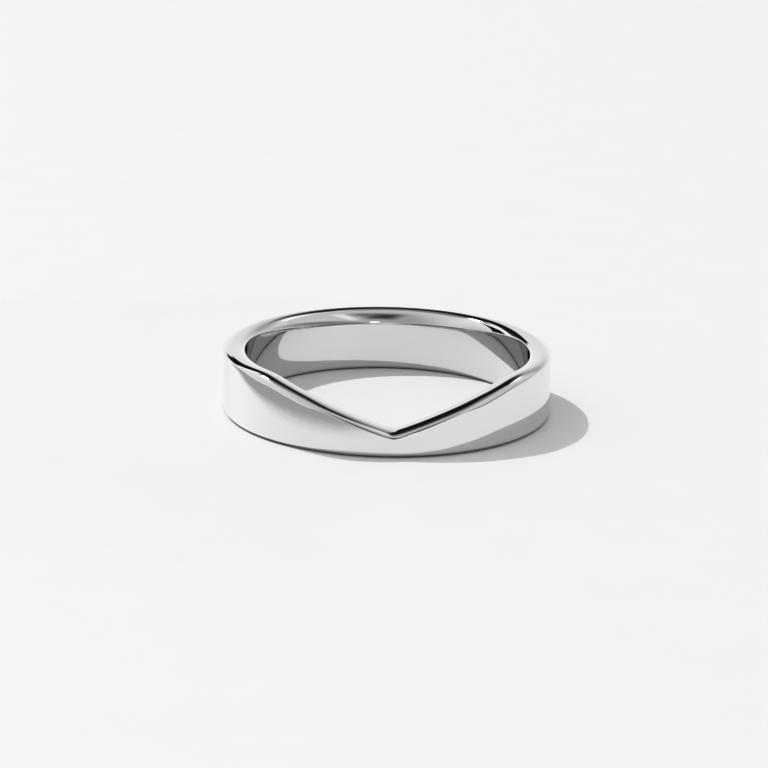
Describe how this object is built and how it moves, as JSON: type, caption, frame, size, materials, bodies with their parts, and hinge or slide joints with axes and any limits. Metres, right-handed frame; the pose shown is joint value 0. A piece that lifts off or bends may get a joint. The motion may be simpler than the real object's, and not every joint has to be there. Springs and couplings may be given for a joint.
{
  "type": "curved wedding band",
  "caption": "Finger ring in one piece: a plain round band with a smooth domed upper edge that dips in a wide shallow V across the front.",
  "frame": {"origin": "centre of the ring on the flat plane of its lower edge, where it rests", "axes": "+Z along the ring's axis and up as it lies, -Y towards the point of the V, X across the front"},
  "size_m": [0.019, 0.019, 0.0038],
  "materials": {
    "white_gold": "polished white gold with fine polishing marks"
  },
  "bodies": {
    "root": {"band": "white_gold"}
  },
  "joints": []
}
